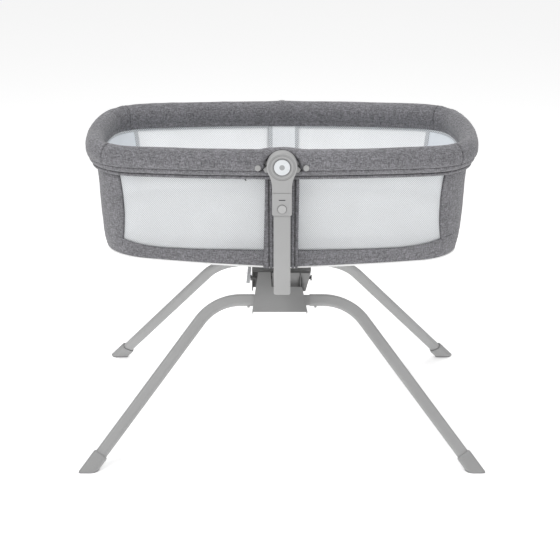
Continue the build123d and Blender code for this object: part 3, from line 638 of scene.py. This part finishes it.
FULL_SECTION = (OUTER_SKIRT
                + [roll_point(radians(-33 + 251 * k / ROLL_STEPS)) for k in range(ROLL_STEPS + 1)]
                + INNER_SKIRT)
SECTION_SHARES = [0.0]
for before, after in zip(FULL_SECTION, FULL_SECTION[1:]):
    SECTION_SHARES.append(SECTION_SHARES[-1] + hypot(after[0] - before[0], after[1] - before[1]))
SECTION_SHARES = [share / SECTION_SHARES[-1] for share in SECTION_SHARES]
ROLL_START_SHARE = SECTION_SHARES[len(OUTER_SKIRT)]
ROLL_END_SHARE = SECTION_SHARES[len(OUTER_SKIRT) + ROLL_STEPS]


def section_at(share):
    """The point of the full section at a share of its length, on straight lines between the key points."""
    for index in range(len(SECTION_SHARES) - 1):
        if share <= SECTION_SHARES[index + 1] or index == len(SECTION_SHARES) - 2:
            low, high = SECTION_SHARES[index], SECTION_SHARES[index + 1]
            part = (share - low) / (high - low)
            a, b = FULL_SECTION[index], FULL_SECTION[index + 1]
            return (a[0] + (b[0] - a[0]) * part, a[1] + (b[1] - a[1]) * part)


def hem_share(x, rear):
    """Where the roll starts: at the hem of the cut-out round the hub, or at the tape away from it."""
    level = ROLL_START_SHARE + (ROLL_END_SHARE - ROLL_START_SHARE) * 33 / 251
    half = HEM_HALF[rear]
    if x >= HEM_FOOT:
        return ROLL_START_SHARE
    if x >= half:
        part = (x - half) / (HEM_FOOT - half)
        return level + (ROLL_START_SHARE - level) * (part * (2 - part)) ** 0.5
    angle = asin(min(HEM_RISE[rear] * sqrt(1 - (x / half) ** 2) / (ROLL_RADIUS + ARCH_RISE[rear]), 0.985))
    return level + (ROLL_END_SHARE - ROLL_START_SHARE) * (angle / radians(251))


def band_lengths():
    """Stations round the half rim, closer together by the hub and at the seams."""
    lengths = set()
    for x in (0, 0.006, 0.012, 0.017, 0.021, 0.025, 0.0275, 0.029, 0.030, 0.0307, 0.032, 0.034, 0.036, 0.038,
              0.0395, 0.0405, 0.041, 0.0414, 0.042, 0.0428, 0.044, 0.0455, 0.047, 0.049, 0.052, 0.055, HEM_FOOT,
              0.060, 0.063):
        lengths.add(round(length_at_x(RIM_OVAL, x), 5))
    seam = length_at_x(RIM_OVAL, SEAM_X)
    for off in (-0.006, -0.004, -0.0026, -0.0014, -0.0006, 0, 0.0006, 0.0014, 0.0026, 0.004, 0.006):
        lengths.add(round(seam + off, 5))
    whole = quarter_length(RIM_OVAL)
    at = 0.067
    while at < whole:
        if abs(at - seam) > 0.0075:
            lengths.add(round(at, 5))
        at += 0.0062
    lengths.add(round(whole, 5))
    ahead = sorted(lengths)
    return ahead + [2 * whole - at for at in ahead[-2::-1]]


def fold_marks(point, out, z, length):
    """Soft wrinkles of the roll: diagonal drag lines, gathers inside the corners and slow unevenness."""
    slow = wobble(point, 8.0, 0.0010) + wobble(point + Vector((3, 0, 0)), 24.0, 0.0006)
    drag = sin(2 * pi * (length / 0.043 + (z - RIM_Z) / 0.05)) * max(wobble(point, 11.0, 1.0), 0.0) * 0.0011
    corner = max(0.0, 1 - abs(abs(point.x) - 0.425) / 0.035)
    inside = 1.0 if out < 0 else 0.35
    gather = sin(2 * pi * length / 0.0125 + 9 * wobble(point, 20.0, 1.0)) * 0.0010 * corner * inside
    return slow + drag + gather


def make_band(side, name):
    """Half of the rim band, with the points of its cut-out's hem and of its two sewn seams."""
    seam = length_at_x(RIM_OVAL, SEAM_X)
    whole = quarter_length(RIM_OVAL)
    rows = []
    hem = []
    seams = []
    gaps = []
    for length in band_lengths():
        centre, normal = half_round(RIM_OVAL, length)
        rear = int(length > whole)
        start = hem_share(centre.x, rear)
        cut = centre.x < HEM_FOOT
        bump = ARCH_RISE[rear] * max(0.0, 1 - (centre.x / 0.060) ** 2) ** 2
        off_seam = abs((length if length <= whole else 2 * whole - length) - seam)
        groove = 0.0032 * max(0.0, 1 - (off_seam / 0.0024) ** 2)
        ridge = 0.0008 * max(0.0, 1 - ((off_seam - 0.0045) / 0.002) ** 2)
        pinch = groove - ridge
        slim = min(1.0, max(0.0, (centre.x - 0.36) / 0.06))
        slim = slim * slim * (3 - 2 * slim)
        row = []
        for share, key in zip(SECTION_SHARES, FULL_SECTION):
            out, z = key
            if cut and share >= ROLL_START_SHARE:
                out, z = section_at(start + (1 - start) * (share - ROLL_START_SHARE) / (1 - ROLL_START_SHARE))
            out *= 1 - 0.22 * slim
            place = Vector((centre.x * side, centre.y, z)) + Vector((normal.x * side, normal.y, 0)) * out
            away = Vector((normal.x * side * out, normal.y * out, z - RIM_Z))
            if away.length > 1e-6:
                away.normalize()
            on_roll = min(1.0, max(0.0, (z - 0.697) / 0.012))
            swell = fold_marks(place, out, z, length) * (0.25 + 0.75 * on_roll) - pinch * (0.3 + 0.7 * on_roll)
            top = max(0.0, (z - 0.725) / 0.018)
            row.append(place + away * swell + Vector((0, 0, bump * min(top, 1.0))))
        rows.append(row)
        if off_seam < 1e-5:
            around = row[len(OUTER_SKIRT):-len(INNER_SKIRT)]
            middle = sum(around, Vector()) / len(around)
            seams.append([place.lerp(middle, -0.012) for place in around])
        gaps.append(cut)
        if cut:
            hem.append((length, row[len(OUTER_SKIRT)]))
    for place in rows[0] + rows[-1]:
        place.x -= side * 0.0012
    gaps = gaps[::side]
    band = grid(name, rows[::side], skip=lambda r, c: c == len(OUTER_SKIRT) - 1 and (gaps[r] or gaps[r + 1]))
    band = subdivide(thicken(band, 0.0022))
    return outward(band), hem, seams


def hem_cords(side, hem, name):
    """Bound edge of the cut-out, as a thin cord at the front and one at the back."""
    whole = quarter_length(RIM_OVAL)
    front = [place for length, place in hem if length < whole]
    back = [place for length, place in hem if length > whole]
    cords = [tube(name + "_a", front, 0.0028, sides=10), tube(name + "_b", back, 0.0018, sides=10)]
    return joined(name, cords)


for side, word in ((1, "right"), (-1, "left")):
    band, hem, seams = make_band(side, word + "_rim_band")
    finish_piece(band, MELANGE)
    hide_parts(word + "_rim_roll")
    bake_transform(band)
    stitches = [tube(f"{word}_roll_seam_{k}", path, 0.0012) for k, path in enumerate(seams)]
    stitches = finish_piece(joined(word + "_roll_seams", stitches), STITCH)
    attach(stitches, "rim_" + word)
    edge = finish_piece(hem_cords(side, hem, word + "_hub_hem"), MELANGE_DARK)
    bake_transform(edge)


# ---- walls: mesh windows, cloth ends, borders and linings ----
def bottom_z(x):
    """Lower edge of the basket, which rises a little toward the ends, more on the left."""
    return 0.4525 + (0.019 if x < 0 else 0.011) * min(abs(x) / 0.42, 1.0)


def band_top(x):
    """Upper edge of the lower cloth band, which climbs near the ends."""
    return 0.4985 + 0.019 * min(max(abs(x) - 0.24, 0.0) / 0.125, 1.0) ** 2


def even(low, high, steps):
    return [low + (high - low) * k / steps for k in range(steps + 1)]


def t_of_x(size, x):
    return length_at_x(size, x) / quarter_length(size)


def wall_point(side, t, z, out):
    size = wall_size(z)
    point, normal = half_round(size, t * quarter_length(size))
    return Vector((point.x * side, point.y, z)) + Vector((normal.x * side, normal.y, 0)) * out


def warped(t, z):
    """Share of the way round that keeps the window's end edge bowed but upright at every height."""
    mirror = t > 1
    t = 2 - t if mirror else t
    key = round(z, 5)
    if key not in EDGES:
        bow = EDGE_BOW * ((z - WALL_MIDDLE_Z) / WALL_HALF_HEIGHT) ** 2
        EDGES[key] = t_of_x(wall_size(z), EDGE_X + bow)
    edge = EDGES[key]
    if t < OVERLAP:
        t = START + (t - START) * (edge - START) / (OVERLAP - START)
    else:
        t = 1 - (1 - t) * (1 - edge) / (1 - OVERLAP)
    return 2 - t if mirror else t


def wall_sheet(name, side, shares, heights, out, ripple=None):
    rows = []
    for t in shares:
        row = []
        for z in heights:
            place = wall_point(side, warped(t, z), z, out)
            if ripple:
                push = ripple(place, t, z)
                place = wall_point(side, warped(t, z), z, out + push)
            row.append(place)
        rows.append(row)
    return grid(name, rows[::side])


def cloth_piece(obj, thickness, paint, levels=0):
    """Thicken a sheet and give it its material."""
    name = obj.name
    thicken(obj, thickness)
    if levels:
        subdivide(obj, levels)
    finish_piece(obj, paint)
    return obj


def stretched(place, t, z):
    return wobble(place, 9.0, 0.0012) + wobble(place, 30.0, 0.0003)


def end_ripple(place, t, z):
    low = max(0.0, 1 - (z - 0.498) / 0.05)
    high = max(0.0, 1 - (0.676 - z) / 0.03)
    gathers = sin(t * 420 + 5 * wobble(place, 15.0, 1.0)) * 0.0006 * high
    return wobble(place, 10.0, 0.0022) + wobble(place, 33.0, 0.0007) * (1 + low) + gathers


START = t_of_x(WALL_TOP_OVAL, WINDOW_START_X)
END = t_of_x(WALL_TOP_OVAL, WINDOW_END_X + 0.003)
OVERLAP = t_of_x(WALL_TOP_OVAL, WINDOW_END_X - 0.004)
EDGES = {}

def mirrored_shares(shares):
    """The same stations on the rear side, in rising order."""
    return [2 - t for t in shares[::-1]]


for side, word in ((1, "right"), (-1, "left")):
    body = "rim_" + word
    made = []

    def wall_piece(name, shares, heights, out, thickness, paint, ripple=None):
        sheet = wall_sheet(f"{word}_{name}", side, shares, heights, out, ripple)
        made.append(cloth_piece(sheet, thickness, paint))
        return made[-1]

    shares = even(START, END, 44)
    heights = even(0.4955, 0.688, 22)
    wall_piece("front_window", shares, heights, -0.0005, 0.0006, WINDOW, stretched)
    wall_piece("rear_window", mirrored_shares(shares), heights, -0.0005, 0.0006, REAR_WINDOW_PAINTED_LIGHT,
               stretched)
    panel = wall_piece("end_panel", even(OVERLAP, 2 - OVERLAP, 110), even(0.4950, 0.686, 24), 0.0016, 0.0018,
                       MELANGE, end_ripple)
    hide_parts(word + "_wall")
    wall_piece("end_lining", even(OVERLAP - 0.006, 2 - OVERLAP + 0.006, 100), even(0.4950, 0.689, 18), -0.0045,
               0.0010, LINING_PAINTED_GLOW, stretched)
    whole_way = even(START, 2 - START, 170)
    wall_piece("top_border", whole_way, even(0.6785, 0.6905, 3), -0.0068, 0.0012, BORDER)
    wall_piece("low_border", whole_way, even(0.5170, 0.5285, 2), -0.0062, 0.0008, DOTS)
    shares = even(OVERLAP - 0.005, OVERLAP + 0.013, 4)
    ends = (("front", shares, OVERLAP), ("rear", mirrored_shares(shares), 2 - OVERLAP))
    for end_word, stations, edge_t in ends:
        wall_piece(end_word + "_border", stations, even(0.500, 0.686, 18), -0.0068, 0.0010, BORDER)
        seam_path = [wall_point(side, warped(edge_t, z), z, 0.0014) for z in even(0.498, 0.682, 20)]
        seam = tube(f"{word}_{end_word}_seam", seam_path, 0.0014)
        made.append(finish_piece(seam, MELANGE_DARK))
    for piece in made:
        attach(piece, body)
        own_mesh(piece)


# ---- centre panels between the windows, front and rear ----
def side_y(size, x):
    return size[1] - SIDE_RADIUS + sqrt(SIDE_RADIUS ** 2 - x * x)


def gauss(value, centre, width):
    return 2.718281828 ** (-((value - centre) / width) ** 2)


def pleat(x, z):
    """Vertical folds either side of the post, deeper toward the top."""
    a = abs(x)
    depth = 0.6 + 0.4 * (z - 0.455) / 0.23
    folds = -0.0065 * gauss(a, 0.0292, 0.0018) - 0.0030 * gauss(a, 0.0215, 0.0020)
    crests = 0.0030 * gauss(a, 0.0253, 0.0022) + 0.0024 * gauss(a, 0.0340, 0.0026)
    return (folds + crests) * depth


def centre_sheet(name, end, xs, heights, out, folded):
    rows = []
    for across in xs:
        row = []
        for z in heights:
            down = max(0.0, (0.690 - z) / 0.235)
            x = across
            if folded:
                x += (-0.0062 if across < 0 else -0.0030) * down * min(abs(across) / 0.036, 1.0)
            y = side_y(wall_size(z), x) + out
            place = Vector((x, end * y, z))
            push = wobble(place, 14.0, 0.0016) + wobble(place, 45.0, 0.0005)
            if folded:
                push += pleat(x, z)
            row.append(Vector((x, end * (y + push), z)))
        rows.append(row)
    return grid(name, rows[::-end])


for end, word in ((-1, "front"), (1, "rear")):
    panel = centre_sheet(word + "_middle_panel", end, even(-0.0372, 0.0385, 72), even(0.4525, 0.7130, 40),
                         0.0024, True)
    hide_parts(word + "_centre_panel")
    pieces_here = [cloth_piece(panel, 0.0020, MELANGE)]
    shift = 0.005 if end > 0 else 0.001
    middle = centre_sheet(word + "_middle_mesh", end, even(shift - 0.0300, shift + 0.0300, 24),
                          even(0.500, 0.684, 18), -0.0085, False)
    pieces_here.append(cloth_piece(middle, 0.0006, BACK_MESH_PAINTED_LIGHT))
    for hand, low, high in (("left", shift - 0.0375, shift - 0.0290), ("right", shift + 0.0290, shift + 0.0375)):
        strip = centre_sheet(f"{word}_middle_border_{hand}", end, even(low, high, 4), even(0.500, 0.684, 18),
                             -0.0095, False)
        pieces_here.append(cloth_piece(strip, 0.0010, BORDER))
    cord_path = [Vector((x, end * (side_y(wall_size(0.4545), x) + 0.0016), 0.4540))
                 for x in even(-0.0435, 0.0360, 16)]
    cord = finish_piece(tube(word + "_middle_piping", cord_path, 0.0026), PIPING)
    pieces_here.append(cord)
    for piece in pieces_here:
        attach(piece, "cradle")


# ---- floor: lower cloth band, piping, underside and mattress ----
def band_rows(side):
    rows = []
    for t in even(START, 2 - START, 150):
        base, _ = half_round(BOTTOM_OVAL, t * quarter_length(BOTTOM_OVAL))
        low = bottom_z(base.x * side)
        high = band_top(base.x)
        profile = [(low, -0.0150), (low, -0.0070), (low + 0.0012, -0.0022), (low + 0.0040, 0.0006),
                   (low + 0.0075, 0.0014)]
        profile += [(z, 0.0014) for z in even(low + 0.0120, high - 0.0085, 8)]
        profile += [(high - 0.0035, 0.0017), (high, 0.0020)]
        row = []
        for z, out in profile:
            place = wall_point(side, t, z, out)
            soft = min(1.0, max(0.0, (z - low) / 0.012)) * min(1.0, max(0.0, (high - z) / 0.006))
            push = (wobble(place, 10.0, 0.0018) + wobble(place, 36.0, 0.0006)) * soft
            row.append(wall_point(side, t, z, out + push))
        rows.append(row)
    return rows[::side]


def underside_rows(side):
    rows = []
    for t in even(t_of_x(BOTTOM_OVAL, 0.0025), 0.982, 60):
        front = wall_point(side, t, 0.455, -0.0100)
        back = wall_point(side, 2 - t, 0.455, -0.0100)
        row = []
        for share in even(0.0, 1.0, 24):
            place = front.lerp(back, share)
            belly = -0.0015 * sin(pi * share) + wobble(place, 9.0, 0.0012)
            row.append(Vector((place.x, place.y, bottom_z(place.x) + 0.0022 + belly)))
        rows.append(row)
    return rows[::-side]


def swell(obj, cap, pressure=4.0, voxel=0.006):
    """Fill a closed cloth form with air, and keep each point within cap of where it began."""
    modifier = obj.modifiers.new("voxels", "REMESH")
    modifier.mode = "VOXEL"
    modifier.voxel_size = voxel
    apply_modifiers(obj)
    rest = [vertex.co.copy() for vertex in obj.data.vertices]
    cloth = obj.modifiers.new("cloth", "CLOTH")
    settings = cloth.settings
    settings.quality = 5
    settings.use_pressure = True
    settings.uniform_pressure_force = pressure
    settings.tension_stiffness = 18
    settings.compression_stiffness = 12
    settings.shear_stiffness = 8
    settings.bending_stiffness = 0.6
    settings.effector_weights.gravity = 0.0
    cloth.collision_settings.use_self_collision = False
    scene = bpy.context.scene
    for step in range(1, 21):
        scene.frame_set(step)
    graph = bpy.context.evaluated_depsgraph_get()
    moved = [vertex.co.copy() for vertex in obj.evaluated_get(graph).data.vertices]
    obj.modifiers.clear()
    scene.frame_set(1)
    for vertex, start, end in zip(obj.data.vertices, rest, moved):
        shift = end - start
        if shift.length > cap:
            shift *= cap / shift.length
        vertex.co = start + shift
    return obj


def smoothed(obj, factor, rounds):
    modifier = obj.modifiers.new("soften", "SMOOTH")
    modifier.factor = factor
    modifier.iterations = rounds
    return apply_modifiers(obj)


def shade_smooth(obj):
    for polygon in obj.data.polygons:
        polygon.use_smooth = True
    return obj


def closed_form(name, rows):
    """A closed body from rows round the half outline, with flat top and bottom and a straight inner face."""
    mesh = bmesh.new()
    made = [[mesh.verts.new(point) for point in row] for row in rows]
    for row, after in zip(made, made[1:]):
        for k in range(len(row) - 1):
            mesh.faces.new((row[k], after[k], after[k + 1], row[k + 1]))
    mesh.faces.new([row[0] for row in made][::-1])
    mesh.faces.new([row[-1] for row in made])
    mesh.faces.new(made[-1] + made[0][::-1])
    bmesh.ops.recalc_face_normals(mesh, faces=mesh.faces)
    data = bpy.data.meshes.new(name)
    mesh.to_mesh(data)
    mesh.free()
    return new_object(name, data)


def make_mattress(name):
    rows = []
    for t in even(t_of_x(BOTTOM_OVAL, 0.0090), 2 - t_of_x(BOTTOM_OVAL, 0.0090), 90):
        edge = wall_point(1, t, 0.470, -0.0145)
        low = bottom_z(edge.x) + 0.0105
        rows.append([Vector((edge.x, edge.y, z)) for z in (low, low + 0.020, 0.5140 - 0.018, 0.5140)])
    return shade_smooth(subdivide(smoothed(swell(closed_form(name, rows), 0.0055), 0.5, 3)))


def mattress_edge(side, name):
    """Sewn cord round the top edge of a mattress half."""
    path = []
    for t in even(t_of_x(BOTTOM_OVAL, 0.0110), 2 - t_of_x(BOTTOM_OVAL, 0.0110), 120):
        edge = wall_point(side, t, 0.470, -0.0120)
        path.append(Vector((edge.x, edge.y, 0.5125)))
    return tube(name, path, 0.0019, closed=True)


right_mattress = make_mattress("right_pad")
pads = {"right": right_mattress, "left": mirrored(right_mattress, "left_pad")}
for side, word in ((1, "right"), (-1, "left")):
    body = "floor_" + word
    pad = finish_piece(pads[word], INNER)
    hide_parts(word + "_mattress")
    edge = finish_piece(mattress_edge(side, word + "_pad_edge"), PIPING)
    cover = cloth_piece(grid(word + "_lower_band", band_rows(side)), 0.0020, MELANGE,
                        levels=1)
    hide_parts(word + "_floor_cover", word + "_floor_board")
    under = cloth_piece(grid(word + "_underside", underside_rows(side)), 0.0015, UNDER)
    trim_path = []
    for t in even(START, 2 - START, 200):
        base, _ = half_round(BOTTOM_OVAL, t * quarter_length(BOTTOM_OVAL))
        low = bottom_z(base.x * side)
        trim_path.append(wall_point(side, t, low + 0.0016, 0.0012))
    trim = finish_piece(tube(word + "_lower_piping", trim_path, 0.0026), PIPING)
    for piece in (pad, edge, cover, under, trim):
        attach(piece, body)


# ---- stand: boots, strap and the small mark on each collar ----
def make_boot(node_name, name):
    """The boot's own shape with every edge rounded, and its sole kept flat."""
    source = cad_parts[node_name]
    boot = new_object(name, source.data.copy())
    modifier = boot.modifiers.new("voxels", "REMESH")
    modifier.mode = "VOXEL"
    modifier.voxel_size = 0.0016
    apply_modifiers(boot)
    smoothed(boot, 0.5, 26)
    lowest = min(vertex.co.z for vertex in boot.data.vertices)
    for vertex in boot.data.vertices:
        if vertex.co.z < lowest + 0.0022:
            vertex.co.z = 0.0
        elif vertex.co.z < lowest + 0.012:
            vertex.co.z -= lowest * (1 - (vertex.co.z - lowest) / 0.012)
    return shade_smooth(boot)


for end_word in ("front", "rear"):
    for hand in ("left", "right"):
        node_name = f"{end_word}_{hand}_boot"
        boot = finish_piece(make_boot(node_name, f"{end_word}_{hand}_shoe"), BOOT)
        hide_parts(node_name)
        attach(boot, end_word + "_leg_frame")

low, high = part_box("storage_strap")
middle_y = (low.y + high.y) / 2
strap_rows = []
for share in even(0.0, 1.0, 54):
    turn = abs(2 * share - 1)
    drop = high.z - 0.002 - (high.z - low.z - 0.005) * sin(pi / 2 * min(1.0, 1.25 * (1 - turn)))
    part = (high.z - drop) / (high.z - low.z)
    x = high.x - 0.0060 - (high.x - low.x - 0.0105) * part ** 1.3
    y = middle_y - 0.0035 * cos(pi * share)
    y += 0.0006 * sin(9 * part)
    strap_rows.append([Vector((x + across, y, drop)) for across in even(-0.0042, 0.0042, 6)])
strap = thicken(grid("side_strap", strap_rows), 0.0014, 0.0)
finish_piece(outward(strap), STRAP)
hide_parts("storage_strap")
stitches = []
for row_z in (high.z - 0.026, high.z - 0.030):
    for k in range(5):
        y0 = low.y + 0.0025 + k * 0.0034
        path = [Vector((low.x + 0.0008, y0 + step * 0.0008, row_z)) for step in range(4)]
        stitches.append(tube(f"stitch_{len(stitches)}", path, 0.00035, sides=6))
stitching = finish_piece(joined("strap_stitching", stitches), STITCH)
for piece in (strap, stitching):
    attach(piece, "stand")


def stadium(name, centre_z, end, half_length, radius, face_y, depth):
    """Flat slot-shaped mark on the face of a collar."""
    outline = [Vector((half_length + radius * cos(a), 0, radius * sin(a))) for a in even(-pi / 2, pi / 2, 10)]
    outline += [Vector((-half_length + radius * cos(a), 0, radius * sin(a))) for a in even(pi / 2, 3 * pi / 2, 10)]
    rows = []
    for level, shrink in ((0.0, 1.0), (0.7, 1.0), (1.0, 0.82)):
        y = end * (face_y + level * depth)
        rows.append([Vector((p.x * shrink, y, centre_z + p.z * shrink)) for p in outline])
    return outward(grid(name, rows, round_rows=True, caps=True))


def plate(name, corners, end, near, far):
    """Thin flat plate with softened corners, standing across the front of the base."""
    points = [Vector((x, 0, z)) for x, z in corners]
    outline = []
    for index, point in enumerate(points):
        before, after = points[index - 1] - point, points[(index + 1) % len(points)] - point
        a, b = point + before.normalized() * 0.002, point + after.normalized() * 0.002
        outline += [a, (a + b + 2 * point) / 4, b]
    centre = sum(points, Vector()) / len(points)
    rows = []
    for y, keep in ((far, 1.0), (near - 0.0007, 1.0), (near, 0.97)):
        rows.append([Vector((centre.x + (p.x - centre.x) * keep, end * y, centre.z + (p.z - centre.z) * keep))
                     for p in outline])
    return outward(grid(name, rows, round_rows=True, caps=True))


def make_zip_tab(name):
    """Slider body and its slanted tab, under the tape at the left of the front."""
    tab = stadium(name + "_tab", 0.0, -1, 0.0044, 0.0013, 0.0, 0.0012)
    tab.data.transform(Matrix.Translation((-0.0842, -0.2440, 0.6765)) @ Matrix.Rotation(radians(52), 4, "Y"))
    slider = stadium(name + "_slider", 0.0, -1, 0.0020, 0.0022, 0.0, 0.0030)
    slider.data.transform(Matrix.Translation((-0.0815, -0.2425, 0.6815)))
    return joined(name, [tab, slider])


zip_tab = finish_piece(make_zip_tab("zip_tab"), BLACK)
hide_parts("zip_pull")
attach(zip_tab, "rim_left")

for end, word in ((-1, "front"), (1, "rear")):
    mark = stadium(word + "_collar_mark", 0.6420, end, 0.0066, 0.0009, 0.2979, 0.0004)
    finish_piece(mark, BLACK)
    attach(mark, "stand")
    low, high = SHIELD_BOTTOM_Z, SHIELD_TOP_Z
    inner = [(-0.0240, low), (0.0425, low), (0.0425, high), (-0.0240, high)]
    outer = [(0.0450, low), (0.0565, low), (0.0690, high), (0.0450, high)]
    for part, corners in (("inner", inner), ("outer", outer)):
        shield = plate(f"{word}_{part}_plate", corners, end, 0.1215, 0.1195)
        finish_piece(shield, PLASTIC_BASE)
        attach(shield, "stand")


# ---- floor, light and camera ----
ground_rows = [[Vector((x, y, -0.0005)) for y in even(-14.0, 26.0, 20)] for x in even(-16.0, 16.0, 20)]
ground = grid("ground", ground_rows)
ground.data.materials.append(stage_cloth("pale_floor"))


def softbox(name, place, aim, size, power):
    light = bpy.data.lights.new(name, "AREA")
    light.shape = "RECTANGLE"
    light.size = size[0]
    light.size_y = size[1]
    light.energy = power
    lamp = bpy.data.objects.new(name, light)
    lamp.location = place
    lamp.rotation_euler = (Vector(aim) - Vector(place)).to_track_quat("-Z", "Y").to_euler()
    bpy.context.scene.collection.objects.link(lamp)
    return lamp


softbox("key_light", (-1.6, -2.4, 3.2), (0, 0, 0.5), (2.0, 2.0), 42)
softbox("fill_light", (2.8, -2.0, 1.6), (0, 0, 0.5), (2.0, 2.0), 10)
softbox("top_light", (0, 0.6, 3.2), (0, 0, 0.4), (2.4, 2.4), 30)

world = bpy.data.worlds.new("studio")
world.use_nodes = True
world.node_tree.nodes["Background"].inputs["Color"].default_value = (1.0, 1.0, 1.0, 1.0)
world.node_tree.nodes["Background"].inputs["Strength"].default_value = 0.50
bpy.context.scene.world = world
bpy.context.scene.view_settings.view_transform = "Standard"

camera_data = bpy.data.cameras.new("camera")
camera_data.sensor_width = 36.0
camera_data.lens = 94.94
camera_data.clip_end = 60.0
camera = bpy.data.objects.new("camera", camera_data)
camera.location = (-0.0046, -3.4574, 1.5727)
camera.rotation_euler = (radians(70.5), 0.0, 0.0)
bpy.context.scene.collection.objects.link(camera)
bpy.context.scene.camera = camera
